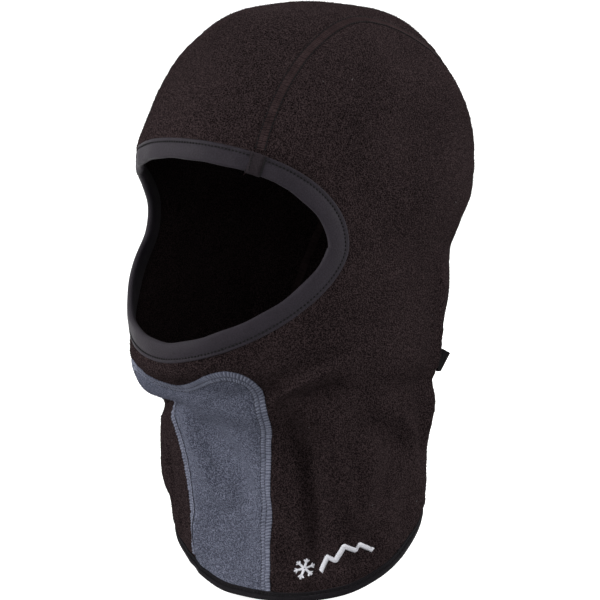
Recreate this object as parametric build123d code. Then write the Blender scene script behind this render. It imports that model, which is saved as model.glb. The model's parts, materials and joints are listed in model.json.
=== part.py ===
from build123d import *
from math import copysign, cos, radians, sin
import os

# Fleece balaclava: hood, bound face opening, throat panel and bound neck skirt.
# Millimetres.  +Z is up, the face looks towards -Y, the wearer's left is +X.
# The origin is the inside of the crown, where the top of the head touches.

os.makedirs("parts", exist_ok=True)

# ---- cloth -------------------------------------------------------------------
FLEECE = 2.2            # thickness of the fleece
TAPE = 0.8              # thickness of one layer of binding tape
SEAM_RISE = 0.6         # height of a flat overlocked seam above the fleece
THREAD_GAP = 0.02       # seams and embroidery rest just clear of the fleece

# ---- hood shape --------------------------------------------------------------
DOME_DEPTH = 92.0       # crown to brow level
MID_Y = 9.0             # the widest line of the hood, above the ears
DOME_ANGLES = (5, 16, 29, 43, 59, 75)
DOME_SIDE_POWER = 0.88  # full, rounded sides
DOME_FRONT_POWER = 1.25 # forehead slopes back

# depth below the crown, half width, front y, back y
BROW = (92, 79.0, -93.0, 130.0)
EYES = (128, 79.5, -98.5, 113.0)
LIPS = (168, 79.5, -102.0, 97.5)
CHIN = (196, 79.0, -100.5, 88.0)
JAW = (216, 78.0, -83.0, 85.0)
THROAT = (236, 76.5, -62.5, 82.0)
NECK = (264, 75.5, -55.0, 76.0)
COLLAR = (305, 75.5, -51.5, 73.5)
SKIRT = (352, 79.0, -54.5, 79.0)
BODY_LEVELS = (BROW, EYES, LIPS, CHIN, JAW, THROAT, NECK, COLLAR, SKIRT)
RING_STEP = 13.0        # spacing of the level curves below the brow
NECK_SQUARENESS = 2.6   # the throat is flatter in front than an ellipse

# ---- face opening, as an angle round the head and a depth --------------------
FACE_HALF_ANGLE = 67.0
FACE_CENTRE_DEPTH = 134.0
FACE_RISE = 58.0
FACE_DROP = 62.0
FACE_TOP_POWER = 2.1
FACE_CHIN_POWER = 1.72
FACE_RADIUS = 92.0      # mean radius of the head over the opening
FACE_BAND = 11.0        # visible width of the binding tape
FOLD_GAP = 0.8          # the fleece stops short of the fold of the tape

# ---- centre panel: half widths along the crown and down the back -------------
CROWN_HALF_WIDTHS = ((-130, 42.0), (-95, 43.5), (-60, 47.0), (-20, 45.0), (20, 43.5))
BACK_HALF_WIDTHS = ((80, 43.5), (145, 55.0), (200, 61.0), (260, 59.5), (360, 58.0))
SEAM_HALF_WIDTH = 3.0

# ---- throat panel, half outline as x and depth -------------------------------
THROAT_OUTLINE = (
    (13, 206.5), (26, 200.0), (36, 198.0), (45, 202.5), (48, 212.0),
    (44, 227.0), (36, 246.0), (31.5, 268.0), (30.0, 300.0), (30.0, 360.0),
)
THROAT_TOP_DIP = 210.5  # depth of the top edge on the centre line
THROAT_SEAM = 6.4       # width of the flat seam round the throat panel

# ---- hem, side view: long in front, short behind -----------------------------
HEM_FRONT = (-63.0, 332.0)
HEM_SIDE = (0.0, 313.5)
HEM_BACK = (75.0, 268.0)
HEM_BAND = 6.2

# ---- emblem and tab ----------------------------------------------------------
EMBLEM_ANGLE = 52.0
EMBLEM_DEPTH = 305.0
EMBLEM_TILT = 19.0
TAB_DEPTH = 207.0
TAB_HEIGHT = 13.0
TAB_LENGTH = 10.0
TAB_THICKNESS = 1.4
TAB_LIFT = 28.0         # the tab stands off the back of the hood by this angle


def front_power(depth):
    """Roundness of the front half: an ellipse at the face, flatter at the neck."""
    share = min(max((depth - 200) / 40, 0), 1)
    return 2 + (NECK_SQUARENESS - 2) * share


def level(depth, column):
    """Half width (1), front y (2) or back y (3) at a depth, without overshoot."""
    knots = [(row[0], row[column]) for row in BODY_LEVELS]
    slopes = [(b[1] - a[1]) / (b[0] - a[0]) for a, b in zip(knots, knots[1:])]
    bends = [0.0]
    for before, after in zip(slopes, slopes[1:]):
        turns = before * after <= 0
        bends.append(0.0 if turns else 2 * before * after / (before + after))
    bends.append(slopes[-1])
    index = sum(1 for knot in knots[1:-1] if knot[0] <= depth)
    span = knots[index + 1][0] - knots[index][0]
    t = (depth - knots[index][0]) / span
    rise = (3 - 2 * t) * t * t * (knots[index + 1][1] - knots[index][1])
    ease = t * (1 - t) * ((1 - t) * bends[index] - t * bends[index + 1]) * span
    return knots[index][1] + rise + ease


def ring(depth, half_width, front, back, rise=0.0):
    """A closed level curve of the hood."""
    points = []
    for step in range(24):
        turn = radians(15 * step)
        side, ahead = sin(turn), cos(turn)
        power = 2 / front_power(depth) if ahead > 0 else 1
        x = half_width * copysign(abs(side) ** power, side)
        reach = MID_Y - front if ahead > 0 else back - MID_Y
        y = MID_Y - reach * copysign(abs(ahead) ** power, ahead)
        points.append((x, y, FLEECE - depth + rise))
    shares = [step / 24 for step in range(25)]
    return Wire([Edge.make_spline(points, periodic=True, parameters=shares)])


def dome_ring(angle, grow):
    """A level curve of the crown, at an angle from the vertical."""
    side = sin(radians(angle))
    width = BROW[1] * side ** DOME_SIDE_POWER + grow * side
    front = (MID_Y - BROW[2]) * side ** DOME_FRONT_POWER + grow * side
    back = (BROW[3] - MID_Y) * side ** DOME_SIDE_POWER + grow * side
    depth = DOME_DEPTH * (1 - cos(radians(angle)))
    return ring(depth, width, MID_Y - front, MID_Y + back, grow * cos(radians(angle)))


def hood_solid(grow, extra=0.0):
    """The filled hood, grown outwards from the outside of the fleece."""
    rings = [dome_ring(angle, grow) for angle in DOME_ANGLES]
    count = round((SKIRT[0] - BROW[0]) / RING_STEP)
    for step in range(count + 1):
        depth = BROW[0] + step * RING_STEP
        width, front, back = [level(depth, column) for column in (1, 2, 3)]
        low = extra if step == count else 0
        rings.append(ring(depth + low, width + grow, front - grow, back + grow))
    return Solid.make_loft(rings)


def layer(inside, outside):
    """The skin of the hood between two offsets from the outside of the fleece."""
    return hood_solid(outside) - hood_solid(inside, extra=6)


def face_outline(margin):
    """The opening in the front view, grown by a margin along the cloth."""
    points = []
    for step in range(36):
        turn = radians(10 * step + 5)
        side, up = cos(turn), sin(turn)
        power = 2 / (FACE_TOP_POWER if up > 0 else FACE_CHIN_POWER)
        height = FACE_RISE if up > 0 else FACE_DROP
        width = radians(FACE_HALF_ANGLE) * FACE_RADIUS
        along = width * copysign(abs(side) ** power, side)
        over = height * copysign(abs(up) ** power, up)
        slope_x = abs(side) ** (2 - power) * copysign(1, side) / width
        slope_y = abs(up) ** (2 - power) * copysign(1, up) / height
        size = (slope_x ** 2 + slope_y ** 2) ** 0.5
        along += margin * slope_x / size
        over += margin * slope_y / size
        x = EYES[1] * sin(along / FACE_RADIUS)
        points.append((x, FLEECE - FACE_CENTRE_DEPTH + over))
    return points


def front_prism(points):
    """A closed spline outline in the front view, run from mid head forwards."""
    curve = Edge.make_spline([(x, 0, z) for x, z in points], periodic=True)
    return extrude(Face(Wire([curve])), 140, dir=(0, -1, 0))


def face_prism(margin):
    return front_prism(face_outline(margin))


def spline_region(left, right, height, direction):
    """The region between two open splines, extruded."""
    outline = [Edge.make_spline(left), Edge.make_spline(right)]
    outline.append(Edge.make_line(left[0], right[0]))
    outline.append(Edge.make_line(left[-1], right[-1]))
    return extrude(Face(Wire(outline)), height, dir=direction)


def centre_region(side_a, side_b):
    """The region between two offsets of the crown seams, each (side, offset)."""
    crown = []
    back = []
    for side, offset in (side_a, side_b):
        crown.append([(side * half + offset, y, 10) for y, half in CROWN_HALF_WIDTHS])
        back.append(
            [(side * half + offset, 20, FLEECE - d) for d, half in BACK_HALF_WIDTHS]
        )
    front_part = spline_region(crown[0], crown[1], 115, (0, 0, -1))
    back_part = spline_region(back[0], back[1], 140, (0, 1, 0))
    low, high = sorted((side_a[0] * 43.5 + side_a[1], side_b[0] * 43.5 + side_b[1]))
    top_part = Pos((low + high) / 2, 90, FLEECE - 35) * Box(high - low, 140, 90)
    return front_part + back_part + top_part


def throat_prism(inset):
    """The throat panel's outline, moved in by an inset, run from mid neck forwards."""
    right = [(x, FLEECE - depth) for x, depth in THROAT_OUTLINE]
    left = [(-x, z) for x, z in reversed(right)]
    edge = left + [(0, FLEECE - THROAT_TOP_DIP)] + right
    points = []
    for index, (x, z) in enumerate(edge):
        before = edge[max(index - 1, 0)]
        after = edge[min(index + 1, len(edge) - 1)]
        run, climb = after[0] - before[0], after[1] - before[1]
        size = (run ** 2 + climb ** 2) ** 0.5
        points.append((x + inset * climb / size, 0, z - inset * run / size))
    outline = [Edge.make_spline(points), Edge.make_line(points[-1], points[0])]
    return extrude(Face(Wire(outline)), 140, dir=(0, -1, 0))


def above_hem(margin):
    """Everything more than a margin above the curved hem."""
    low = [(y, FLEECE - depth + margin) for y, depth in (HEM_FRONT, HEM_SIDE, HEM_BACK)]
    arc = Edge.make_three_point_arc(*[(-100, y, z) for y, z in low])
    front, back = low[0], low[-1]
    outline = [
        arc,
        Edge.make_line((-100, *back), (-100, 160, back[1] - 50)),
        Edge.make_line((-100, 160, back[1] - 50), (-100, 160, 20)),
        Edge.make_line((-100, 160, 20), (-100, -130, 20)),
        Edge.make_line((-100, -130, 20), (-100, -130, front[1] - 10)),
        Edge.make_line((-100, -130, front[1] - 10), (-100, *front)),
    ]
    return extrude(Face(Wire(outline)), 200, dir=(1, 0, 0))


def hood_point(angle, depth):
    """A point on the outside of the fleece below the brow, by angle and depth."""
    width, front, back = [level(depth, column) for column in (1, 2, 3)]
    side, ahead = sin(radians(angle)), cos(radians(angle))
    power = 2 / front_power(depth) if ahead > 0 else 1
    reach = MID_Y - front if ahead > 0 else back - MID_Y
    x = width * copysign(abs(side) ** power, side)
    y = MID_Y - reach * copysign(abs(ahead) ** power, ahead)
    return Vector(x, y, FLEECE - depth)


def on_hood(angle, depth, outwards=0.0):
    """A point a little way off the fleece, and the direction outwards."""
    across = hood_point(angle + 1, depth) - hood_point(angle - 1, depth)
    upwards = hood_point(angle, depth - 1) - hood_point(angle, depth + 1)
    normal = across.cross(upwards).normalized()
    return hood_point(angle, depth) + normal * outwards, normal


def emblem_plane():
    """A plane resting on the cloth low on the wearer's left, rising with the hem."""
    centre, normal = on_hood(EMBLEM_ANGLE, EMBLEM_DEPTH)
    along = Vector(0, 0, 1).cross(normal)
    plane = Plane(origin=centre, x_dir=along, z_dir=normal)
    return plane.rotated((0, 0, EMBLEM_TILT))


def snowflake_sketch():
    """Three crossed bars with a round hub."""
    bars = [Rot(0, 0, 30 + 60 * arm) * Rectangle(10.5, 1.5) for arm in range(3)]
    flake = bars[0] + bars[1] + bars[2] + Circle(2.2)
    return Pos(-18, 0) * flake


def mountain_sketch():
    """A ridge line of three peaks drawn with a broad stroke."""
    ridge = ((-10.5, -5), (-3, 2), (0.5, -1), (7.5, 5.5), (13, 0), (16, 2.5), (23.5, -5))
    stroke = [(x, y - 2.8) for x, y in reversed(ridge)]
    return Pos(0, 1.2) * make_face(Polyline(*ridge, *stroke, close=True))


def seam_tab():
    """A short folded tape sewn into the left back seam, standing off the cloth."""
    turn = 128.5
    root, normal = on_hood(turn, TAB_DEPTH, 1.8)
    upper = on_hood(turn, TAB_DEPTH - 7)[0]
    lower = on_hood(turn, TAB_DEPTH + 7)[0]
    up = (upper - lower).normalized()
    backwards = up.cross(normal).normalized()
    plane = Plane(origin=root, x_dir=backwards, z_dir=up).rotated((0, 0, -TAB_LIFT))
    half = TAB_THICKNESS / 2
    strip = Pos(TAB_LENGTH / 2, 0) * Rectangle(TAB_LENGTH, TAB_THICKNESS)
    strip += Pos(TAB_LENGTH, 0) * Circle(half)
    slot = Pos(TAB_LENGTH / 2 + 2, 0) * Rectangle(TAB_LENGTH - 4, 0.3)
    profile = Pos(0, 0, -TAB_HEIGHT / 2) * (strip - slot)
    return plane.location * extrude(profile, TAB_HEIGHT)


def build():
    """Every piece of the balaclava, by name."""
    shell = layer(-FLEECE, 0)
    tape = layer(-FLEECE - TAPE, TAPE)
    raised = layer(THREAD_GAP, SEAM_RISE)
    face_edge = face_prism(0)
    cloth = shell - face_prism(FOLD_GAP - FACE_BAND)
    cloth = cloth & above_hem(FOLD_GAP)
    middle = centre_region((-1, 0), (1, 0))
    throat = throat_prism(THROAT_SEAM / 2)
    above_band = above_hem(HEM_BAND)

    pieces = {}
    pieces["centre_panel"] = cloth & middle
    pieces["side_and_chin_panel"] = cloth - middle - throat
    pieces["throat_panel"] = cloth & throat

    face_tape = tape & (face_edge - face_prism(-FACE_BAND))
    pieces["face_binding"] = face_tape - cloth
    hem_tape = (tape & above_hem(0)) - above_band
    pieces["hem_binding"] = hem_tape - cloth

    seam_cloth = (raised - face_edge) & above_band
    half = SEAM_HALF_WIDTH
    pieces["left_crown_seam"] = seam_cloth & centre_region((1, -half), (1, half))
    pieces["right_crown_seam"] = mirror(pieces["left_crown_seam"], about=Plane.YZ)
    throat_band = throat_prism(0) - throat_prism(THROAT_SEAM)
    pieces["throat_seam"] = seam_cloth & throat_band

    snowflake = extrude(emblem_plane() * snowflake_sketch(), 14, both=True)
    pieces["snowflake_embroidery"] = raised & snowflake
    mountains = extrude(emblem_plane() * mountain_sketch(), 14, both=True)
    pieces["mountain_embroidery"] = raised & mountains
    pieces["seam_tab"] = seam_tab()
    return pieces


for name, piece in build().items():
    solids = piece.solids()
    shape = solids[0] if len(solids) == 1 else Compound(solids)
    shape.label = name
    export_step(shape, f"parts/{name}.step")
    print(name, len(solids), round(shape.volume, 1))
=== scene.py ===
import bpy
import json
import numpy as np
from math import cos, pi, radians, sin
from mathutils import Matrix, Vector


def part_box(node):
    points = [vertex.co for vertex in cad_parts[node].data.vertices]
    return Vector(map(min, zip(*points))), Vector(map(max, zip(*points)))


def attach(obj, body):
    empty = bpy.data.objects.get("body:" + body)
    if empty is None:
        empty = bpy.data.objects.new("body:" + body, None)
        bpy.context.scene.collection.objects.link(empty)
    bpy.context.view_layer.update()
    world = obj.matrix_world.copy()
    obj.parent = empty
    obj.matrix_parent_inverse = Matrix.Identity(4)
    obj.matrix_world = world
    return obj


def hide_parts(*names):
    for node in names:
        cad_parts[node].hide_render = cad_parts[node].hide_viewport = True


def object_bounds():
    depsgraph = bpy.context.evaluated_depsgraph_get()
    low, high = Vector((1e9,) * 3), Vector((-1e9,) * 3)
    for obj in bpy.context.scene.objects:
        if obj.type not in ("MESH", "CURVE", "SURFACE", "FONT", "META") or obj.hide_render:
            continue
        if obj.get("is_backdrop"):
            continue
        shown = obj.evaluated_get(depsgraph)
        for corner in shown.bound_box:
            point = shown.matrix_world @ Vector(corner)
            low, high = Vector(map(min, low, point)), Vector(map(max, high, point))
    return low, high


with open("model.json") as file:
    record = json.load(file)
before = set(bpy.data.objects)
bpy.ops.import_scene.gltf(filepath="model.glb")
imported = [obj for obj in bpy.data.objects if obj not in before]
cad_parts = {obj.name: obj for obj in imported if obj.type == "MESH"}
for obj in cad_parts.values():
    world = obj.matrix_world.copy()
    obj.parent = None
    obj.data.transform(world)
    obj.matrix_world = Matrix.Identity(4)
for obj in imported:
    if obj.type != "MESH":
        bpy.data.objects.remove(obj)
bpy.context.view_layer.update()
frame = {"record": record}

# Lengths in this script are millimetres; mesh() turns them into metres.
MM = 0.001
FLEECE = 2.2
DOME_DEPTH = 92.0
DOME_RUN = 145.0
MID_Y = 9.0
FACE_R = 92.0
FACE_HALF = radians(67.0) * FACE_R
FACE_MID = 134.0
FACE_RISE, FACE_DROP = 58.0, 62.0
FACE_BAND = 11.0
FACE_ROUND_TOP, FACE_ROUND_LOW = 2.1, 1.72
HEM_BAND = 6.2
rng = np.random.default_rng(7)

# depth below the crown, half width, front y, back y
LEVELS = np.array([
    (92, 79.0, -93.0, 130.0), (128, 79.5, -98.5, 113.0), (168, 79.5, -102.0, 97.5),
    (196, 79.0, -100.5, 88.0), (216, 78.0, -83.0, 85.0), (236, 76.5, -62.5, 82.0),
    (264, 75.5, -55.0, 76.0), (305, 75.5, -51.5, 73.5), (352, 79.0, -54.5, 79.0),
])


# ---------------------------------------------------------------- hood surface
def hermite(x, knots, values, flat_start=False):
    """Monotone cubic interpolation, so the cloth never overshoots."""
    slopes = np.diff(values) / np.diff(knots)
    same = slopes[1:] * slopes[:-1] > 0
    total = np.where(same, slopes[1:] + slopes[:-1], 1.0)
    inner = np.where(same, 2 * slopes[1:] * slopes[:-1] / total, 0.0)
    bends = np.concatenate([[0.0 if flat_start else slopes[0]], inner, [slopes[-1]]])
    i = np.clip(np.searchsorted(knots, x, side="right") - 1, 0, len(knots) - 2)
    span = knots[i + 1] - knots[i]
    t = (x - knots[i]) / span
    rise = (3 - 2 * t) * t * t * (values[i + 1] - values[i])
    return values[i] + rise + t * (1 - t) * ((1 - t) * bends[i] - t * bends[i + 1]) * span


def run_of(depth):
    """Distance run down the cloth from the crown, for a depth."""
    depth = np.asarray(depth, float)
    tilt = np.arccos(np.clip(1 - depth / DOME_DEPTH, 0, 1))
    return np.where(depth < DOME_DEPTH, DOME_RUN * tilt / (pi / 2), DOME_RUN + depth - DOME_DEPTH)


def smooth_hood(theta, run):
    """The fitted hood without folds: angle round the head in radians, run from the crown."""
    tilt = np.clip(run / DOME_RUN, 0, 1) * pi / 2
    depth = np.where(run < DOME_RUN, DOME_DEPTH * (1 - np.cos(tilt)), DOME_DEPTH + run - DOME_RUN)
    deep = np.clip(depth, 92, 352)
    width, front, back = [hermite(deep, LEVELS[:, 0], LEVELS[:, k], True) for k in (1, 2, 3)]
    s = np.clip(np.sin(tilt), 1e-4, 1)
    width = width * s ** 0.88
    ahead_reach = (MID_Y - front) * s ** 1.25
    back_reach = (back - MID_Y) * s ** 0.88
    square = 2 / (2 + 0.6 * np.clip((depth - 200) / 40, 0, 1))
    side, ahead = np.sin(theta), np.cos(theta)
    power = np.where(ahead > 0, square, 1.0)
    x = width * np.sign(side) * np.abs(side) ** power
    y = MID_Y - np.where(ahead > 0, ahead_reach, back_reach) * np.sign(ahead) * np.abs(ahead) ** power
    return np.stack([x, y, FLEECE - depth], -1)


# ---------------------------------------------------------------- seam lines
CROWN_WIDTHS = np.array([(-130, 42.0), (-95, 43.5), (-60, 47.0), (-20, 45.0), (20, 43.5)])
BACK_WIDTHS = np.array([(80, 43.5), (145, 55.0), (200, 61.0), (260, 59.5), (360, 58.0)])
THROAT = [
    (13, 205.5), (26, 200.0), (36, 198.0), (45.0, 202.5), (47.0, 212.5),
    (43.5, 227.0), (37, 246.0), (33.0, 268.0), (32.0, 300.0), (32.0, 360.0),
]
THROAT_DIP = 208.5
THROAT_SEAM = 6.4
SEAM_STEP = 0.42


def ease(x, start, end):
    """Smooth step from 0 at start to 1 at end."""
    t = np.clip((x - start) / (end - start), 0, 1)
    return t * t * (3 - 2 * t)


def hem_gap(p):
    """How far a point is above the hem, which is long in front, short behind and hitched up on one side."""
    x, y = p[..., 0], p[..., 1]
    hem = 313.5 - 0.4367 * y - 0.00227 * y * y
    hitch = 21.0 * ease(-x, -4, 74) * ease(-y, -40, 10)
    return (hem - hitch - (FLEECE - p[..., 2])) * 0.9


def centre_gap(p):
    """How far a point is inside the centre panel's seams; negative on the side panels."""
    y, depth = p[..., 1], FLEECE - p[..., 2]
    crown = hermite(np.clip(y, -130, 20), CROWN_WIDTHS[:, 0], CROWN_WIDTHS[:, 1])
    back = hermite(np.clip(depth, 80, 360), BACK_WIDTHS[:, 0], BACK_WIDTHS[:, 1], True)
    half = np.where(y < 20, crown, back)
    return np.where((y < 20) & (depth > 107), -30.0, half - np.abs(p[..., 0]))


def face_gap(theta, depth):
    """How far a point is outside the face binding's outer edge."""
    a, b = np.abs(theta) * FACE_R, FACE_MID - depth
    n = np.where(b > 0, FACE_ROUND_TOP, FACE_ROUND_LOW)
    height = np.where(b > 0, FACE_RISE, FACE_DROP)
    u, w = a / FACE_HALF, np.abs(b) / height
    value = u ** n + w ** n - 1
    slope = np.hypot(n / FACE_HALF * u ** (n - 1), n / height * w ** (n - 1))
    return value / np.maximum(slope, 1e-3)


def smooth_line(points, count):
    """A dense Catmull-Rom line through a few points."""
    q = np.array([points[0], *points, points[-1]], float)
    out = []
    for p0, p1, p2, p3 in zip(q, q[1:], q[2:], q[3:]):
        t = np.linspace(0, 1, count, endpoint=False)[:, None]
        out.append(0.5 * (2 * p1 + (p2 - p0) * t + (2 * p0 - 5 * p1 + 4 * p2 - p3) * t ** 2
                          + (3 * p1 - p0 - 3 * p2 + p3) * t ** 3))
    return np.vstack([*out, q[-1:]])


def throat_line():
    """The throat panel's outer edge as x and depth, from right of picture to left."""
    left = [(-x, d) for x, d in reversed(THROAT)]
    return smooth_line(left + [(0, THROAT_DIP)] + THROAT, 12)


THROAT_LINE = throat_line()


def throat_gap(p):
    """How far a point is inside the throat panel's outline."""
    x, depth = p[..., 0].ravel(), FLEECE - p[..., 2].ravel()
    near = (p[..., 1].ravel() < MID_Y) & (depth > 180) & (np.abs(x) < 62)
    gap = np.full(x.shape, -30.0)
    px, pd = x[near], depth[near]
    a, b = THROAT_LINE[:-1], THROAT_LINE[1:]
    best = np.full(px.shape, 1e9)
    inside = np.zeros(px.shape, bool)
    for (ax, ad), (bx, bd) in zip(a, b):
        dx, dd = bx - ax, bd - ad
        t = np.clip(((px - ax) * dx + (pd - ad) * dd) / (dx * dx + dd * dd), 0, 1)
        best = np.minimum(best, np.hypot(px - ax - t * dx, pd - ad - t * dd))
        crosses = (ad > pd) != (bd > pd)
        inside ^= crosses & (px < ax + dx * (pd - ad) / (dd if dd else 1e-9))
    gap[near] = np.where(inside, best, -best)
    return gap.reshape(p.shape[:-1])


# ---------------------------------------------------------------- folds
def hump(distance, width):
    return np.exp(-(distance / width) ** 2)


def line_gap(theta, depth, path):
    """Distance to a short drawn line, and how far along it, on the cloth."""
    px, pd = np.degrees(theta) * 1.35, depth
    best = np.full(np.shape(px), 1e9)
    along = np.zeros(np.shape(px))
    side = np.zeros(np.shape(px))
    path = [(degree * 1.35, d) for degree, d in path]
    for k, ((ax, ad), (bx, bd)) in enumerate(zip(path, path[1:])):
        dx, dd = bx - ax, bd - ad
        t = np.clip(((px - ax) * dx + (pd - ad) * dd) / (dx * dx + dd * dd), 0, 1)
        gap = np.hypot(px - ax - t * dx, pd - ad - t * dd)
        near = gap < best
        best = np.where(near, gap, best)
        along = np.where(near, (k + t) / (len(path) - 1), along)
        side = np.where(near, np.sign((px - ax) * dd - (pd - ad) * dx), side)
    return best, along, side


def crease(theta, depth, path, width, height, lean=0.0):
    """A valley or ridge along a drawn line that fades out at both ends."""
    gap, along, side = line_gap(theta, depth, path)
    fade = np.clip(4 * along * (1 - along), 0, 1) ** 0.6
    shape = hump(gap, width) + lean * side * hump(gap - 1.6 * width, 1.3 * width)
    return height * fade * shape


WAVES = [(k, length, rng.uniform(0, 2 * pi)) for k, length in
         ((5, 160), (7, -240), (9, 190), (12, -150), (15, 260))]
HEAD_WAVES = [(k, length, rng.uniform(0, 2 * pi)) for k, length in
              ((2, 70), (3, -55), (4, 48), (6, -80))]
PUCKERS = rng.uniform(0, 2 * pi, 8)


def waves(theta, depth, table):
    """Gentle uneven swelling all round the head."""
    return sum(np.cos(k * theta + depth * 2 * pi / length + phase) for k, length, phase in table)


def bump(theta, depth, angle, spread, level, height):
    """A soft swelling centred at an angle in degrees and a depth."""
    return np.exp(-((np.degrees(theta) - angle) / spread) ** 2 - ((depth - level) / height) ** 2)


CREASES = [
    # each is a path of angle in degrees and depth, then width, height and lean
    (((-58, 236), (-38, 231), (-20, 228), (-4, 226)), 3.6, -2.4, 0.2),  # under the chin
    (((-13, 228), (-9, 243), (-4, 262), (2, 284)), 4.6, 2.4, -0.2),  # down the throat panel
    (((-3, 232), (2, 248), (6, 266), (9, 284)), 6.0, -1.7, 0.0),
    (((-16, 290), (-13, 306), (-9, 322)), 4.0, 1.5, 0.0),
    (((35, 217), (43, 210), (52, 203), (70, 193)), 2.8, 1.7, -0.7),  # from the throat panel's corner
    (((36, 226), (50, 216), (66, 206)), 4.5, -1.6, 0.0),
    (((37, 222), (41, 250), (42, 282), (40, 314)), 8.0, -2.6, 0.0),  # beside the throat panel
    (((53, 222), (57, 250), (60, 284)), 6.0, 1.8, 0.0),
    (((74, 212), (88, 228), (104, 248)), 6.0, 1.0, 0.0),
    (((77, 238), (72, 262), (66, 290)), 6.0, 1.2, 0.0),
    (((90, 240), (85, 264), (79, 286)), 6.0, -1.1, 0.0),
    (((66, 226), (84, 238), (100, 258)), 9.0, -1.8, 0.2),
    (((44, 250), (56, 268), (62, 292)), 8.0, 1.5, 0.2),
    (((60, 312), (72, 303), (86, 291)), 3.0, -1.6, 0.5),  # beside the emblem
    (((66, 308), (78, 298), (90, 286)), 3.4, 1.3, 0.0),
    (((33, 312), (38, 318), (46, 319)), 3.2, 1.4, 0.0),
    (((12, 268), (24, 292), (33, 311)), 6.0, -1.3, 0.2),
    (((-62, 238), (-58, 262), (-50, 288)), 6.0, 2.4, 0.0),  # wearer's right of the neck
    (((-42, 246), (-40, 268), (-36, 296)), 5.0, -2.0, 0.2),
    (((-80, 250), (-74, 275), (-66, 296)), 6.0, -1.8, 0.0),
    (((110, 138), (113, 170), (115, 205), (114, 250)), 3.2, 1.8, -0.3),  # down the nape
    (((100, 205), (106, 232), (110, 262)), 6.0, -1.2, 0.0),
    (((-112, 150), (-116, 195), (-113, 245)), 6.0, 1.6, 0.3),
    (((140, 205), (165, 214), (190 - 360, 214)), 8.0, -1.6, 0.0),
]


SWELLS = [
    # each is a height off the head, then an angle in degrees, its spread, a depth and its spread
    (5.5, -36, 30, 214, 9), (-2.4, -34, 24, 230, 8), (1.5, -44, 24, 200, 13),  # right of the chin
    (5.5, -58, 22, 150, 20), (4.0, -64, 16, 84, 13),  # right cheek and temple
    (2.5, 22, 22, 224, 16),  # left of the chin
    (2.6, -54, 30, 262, 30), (-9.0, -60, 34, 334, 22),  # right of the skirt
    (2.2, 130, 35, 112, 14), (-2.2, 130, 35, 143, 12), (1.5, 130, 40, 55, 18),  # back of the head
    (-2.5, 118, 30, 296, 20),
]
CREASE_LIFT = 2.25


def folds(theta, depth, p):
    """How far the cloth stands in or out from the smooth hood."""
    neck = ease(depth, 235, 290)
    hem = hem_gap(p)
    out = 0.75 * neck * ease(hem, -10, 24) * waves(theta, depth, WAVES)
    out += 0.30 * (1 - neck) * ease(depth, 0, 30) * waves(theta, depth, HEAD_WAVES)
    for path, width, height, lean in CREASES:
        out += crease(theta, depth, path, width, CREASE_LIFT * height, lean) * ease(hem, 0, 15)
    for lift, *place in SWELLS:
        out += lift * bump(theta, depth, *place)
    # the crown is a little flat on top
    out += 2.0 * hump(depth - 13, 9) - 1.8 * hump(depth, 5)
    # the cloth is gathered by the bindings and drawn down along the seams
    edge = face_gap(theta, depth)
    pucker = np.cos(theta * 41 + PUCKERS[0]) + 0.8 * np.cos(theta * 67 + depth * 0.35 + PUCKERS[1])
    out += (0.55 + 0.22 * pucker) * hump(edge - 4.5, 4.0)
    pucker = 0.24 * np.cos(theta * 37 + PUCKERS[2]) + 0.18 * np.cos(theta * 59 + PUCKERS[3])
    out += (0.6 + pucker) * hump(hem - 10.0, 3.6)
    seam = np.abs(centre_gap(p))
    beat = np.cos(depth * 0.62 + p[..., 1] * 0.45 + PUCKERS[4])
    beat = beat + 0.7 * np.cos(depth * 0.37 - p[..., 1] * 0.71 + PUCKERS[5])
    out += (-0.6 + 0.1 * beat) * hump(seam, 3.8) + (0.36 + 0.16 * beat) * hump(seam - 7.0, 3.0)
    throat = np.abs(throat_gap(p) - THROAT_SEAM / 2)
    beat = np.cos(depth * 0.71 + p[..., 0] * 0.52 + PUCKERS[6])
    out += (-0.3 + 0.08 * beat) * hump(throat, 3.4) + (0.4 + 0.2 * beat) * hump(throat - 6.5, 3.0)
    return out


def cross_normals(function, theta, run):
    step_a, step_r = 0.004, 0.35
    across = function(theta + step_a, run) - function(theta - step_a, run)
    down = function(theta, run + step_r) - function(theta, np.maximum(run - step_r, 0.01))
    normal = np.cross(down, across)
    size = np.linalg.norm(normal, axis=-1, keepdims=True)
    normal = normal / np.maximum(size, 1e-9)
    top = (run < 1.0)[..., None]
    return np.where(top | (size < 1e-9), np.array([0.0, 0.0, 1.0]), normal)


def cloth(theta, run):
    """The hood's outside with its folds."""
    theta, run = np.broadcast_arrays(np.asarray(theta, float), np.asarray(run, float))
    p = smooth_hood(theta, run)
    n = cross_normals(smooth_hood, theta, run)
    turned = (theta + pi) % (2 * pi) - pi
    return p + n * folds(turned, FLEECE - p[..., 2], p)[..., None]


def skin(theta, run, out=0.0):
    """A point on or off the folded cloth, along its normal."""
    normal = cross_normals(cloth, np.asarray(theta, float), np.asarray(run, float))
    return cloth(theta, run) + normal * np.asarray(out, float)[..., None]


# ---------------------------------------------------------------- meshes
def mesh(name, points, faces, material, body, sharp=None):
    """A named piece from millimetre points."""
    data = bpy.data.meshes.new(name)
    data.from_pydata((np.asarray(points) * MM).tolist(), [], [list(map(int, f)) for f in faces])
    data.update()
    data.materials.append(material)
    data.shade_smooth()
    if sharp:
        data.set_sharp_from_angle(angle=radians(sharp))
    piece = bpy.data.objects.new(name, data)
    bpy.context.scene.collection.objects.link(piece)
    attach(piece, body)
    return piece


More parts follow.
